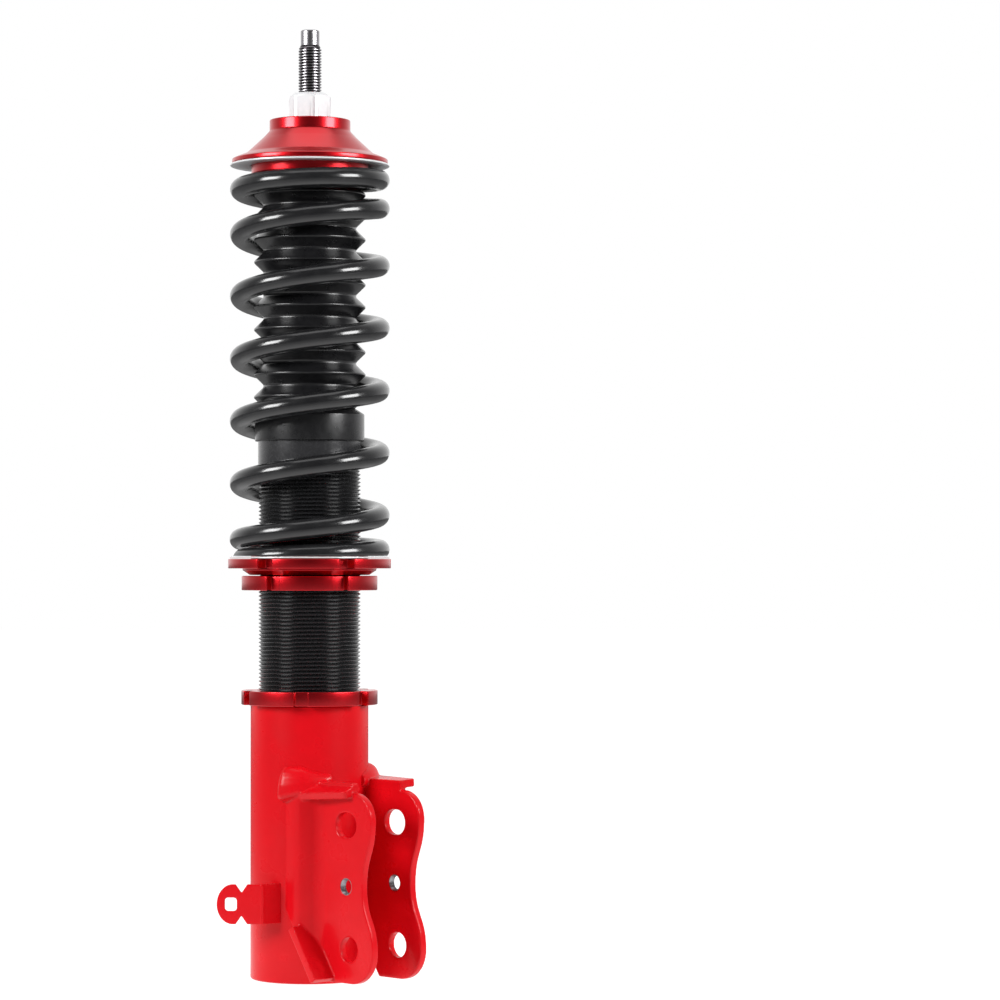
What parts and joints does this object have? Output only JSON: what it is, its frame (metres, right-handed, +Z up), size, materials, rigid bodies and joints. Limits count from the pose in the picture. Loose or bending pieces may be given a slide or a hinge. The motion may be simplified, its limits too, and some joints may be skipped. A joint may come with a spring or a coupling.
{
  "type": "coilover suspension strut",
  "caption": "Threaded monotube damper with a coil spring on a screw-adjusted perch, dust boot, domed upper spring seat and a height-adjustable knuckle bracket with two ears.",
  "frame": {"origin": "centre of the lower bracket's bottom face, on the rod axis", "axes": "+Z up along the rod axis towards the rod's tip, +X outboard from the tube towards the knuckle ears, Y along the knuckle bolts"},
  "size_m": [0.1118, 0.0983, 0.4919],
  "materials": {
    "red_powder_coat": "glossy powder coat on steel",
    "red_anodised_alloy": "red anodised, satin",
    "spring_paint": "gloss black coat on spring steel",
    "black_thread": "satin black, machined thread",
    "black_rubber": "semi-gloss moulded rubber",
    "seal_rubber": "moulded seal rubber",
    "zinc_plate": "bright zinc plate",
    "chromed_rod": "hard chrome, ground, with a plain steel thread at its end",
    "plain_steel": "oiled steel",
    "machined_alloy": "turned alloy",
    "bronze": "bronze and PTFE bearing lining",
    "urethane": "foamed urethane"
  },
  "bodies": {
    "lower_bracket": {"bracket_tube": "red_powder_coat", "bracket_base_plate": "red_powder_coat", "knuckle_ear_near": "red_powder_coat", "knuckle_ear_far": "red_powder_coat", "brake_line_tab": "red_powder_coat"},
    "bracket_ring": {"bracket_lock_ring": "red_anodised_alloy"},
    "damper_body": {"body_tube": "black_thread", "base_plug": "machined_alloy", "gas_fill_screw": "plain_steel", "rod_guide": "machined_alloy", "rod_guide_seal": "black_rubber", "rod_bush": "bronze", "rod_seal": "seal_rubber", "gland_nut": "black_thread", "rod_wiper": "black_rubber", "dust_boot": "black_rubber"},
    "spring_platform": {"lower_slip_washer": "zinc_plate", "coil_spring": "spring_paint"},
    "perch": {"lower_perch": "red_anodised_alloy"},
    "perch_ring": {"perch_lock_ring": "red_anodised_alloy"},
    "stroke_carrier": {"upper_slip_washer": "zinc_plate", "piston_band": "bronze"},
    "rod_assembly": {"piston_rod": "chromed_rod", "piston": "machined_alloy", "compression_shims": "plain_steel", "rebound_shims": "plain_steel", "piston_nut": "zinc_plate", "top_out_bumper": "urethane", "bump_stop": "urethane", "upper_spring_seat": "red_anodised_alloy", "rod_washer": "zinc_plate", "top_nut": "zinc_plate"},
    "gas_piston": {"floating_piston": "machined_alloy", "floating_piston_seal": "black_rubber"}
  },
  "joints": [
    {"name": "bracket_ring_lift", "type": "slide", "parent": "lower_bracket", "child": "bracket_ring", "axis": [0, 0, 1], "range_m": [0, 0.012]},
    {"name": "ride_height", "type": "slide", "parent": "lower_bracket", "child": "damper_body", "axis": [0, 0, 1], "range_m": [-0.012, 0.045]},
    {"name": "platform_height", "type": "slide", "parent": "damper_body", "child": "spring_platform", "axis": [0, 0, 1], "range_m": [-0.012, 0]},
    {"name": "perch_turn", "type": "hinge", "parent": "spring_platform", "child": "perch", "pos_m": [0, 0, 0.215], "axis": [0, 0, 1], "range_deg": [-2160, 0]},
    {"name": "perch_ring_turn", "type": "hinge", "parent": "spring_platform", "child": "perch_ring", "pos_m": [0, 0, 0.205], "axis": [0, 0, 1], "range_deg": [-2160, 0]},
    {"name": "rod_stroke", "type": "slide", "parent": "damper_body", "child": "stroke_carrier", "axis": [0, 0, 1], "range_m": [-0.09, 0], "stiffness_N_per_m": 49000, "deforming": ["coil_spring", "dust_boot"]},
    {"name": "rod_turn", "type": "hinge", "parent": "stroke_carrier", "child": "rod_assembly", "pos_m": [0, 0, 0.43], "axis": [0, 0, 1], "continuous": true},
    {"name": "gas_piston_travel", "type": "slide", "parent": "damper_body", "child": "gas_piston", "axis": [0, 0, 1], "range_m": [-0.0187, 0]}
  ],
  "couplings": [
    {"joint": "perch_turn", "follows": "platform_height", "rad_per_m": 3141.6},
    {"joint": "perch_ring_turn", "follows": "platform_height", "rad_per_m": 3141.6},
    {"joint": "gas_piston_travel", "follows": "rod_stroke", "ratio": 0.20661}
  ]
}
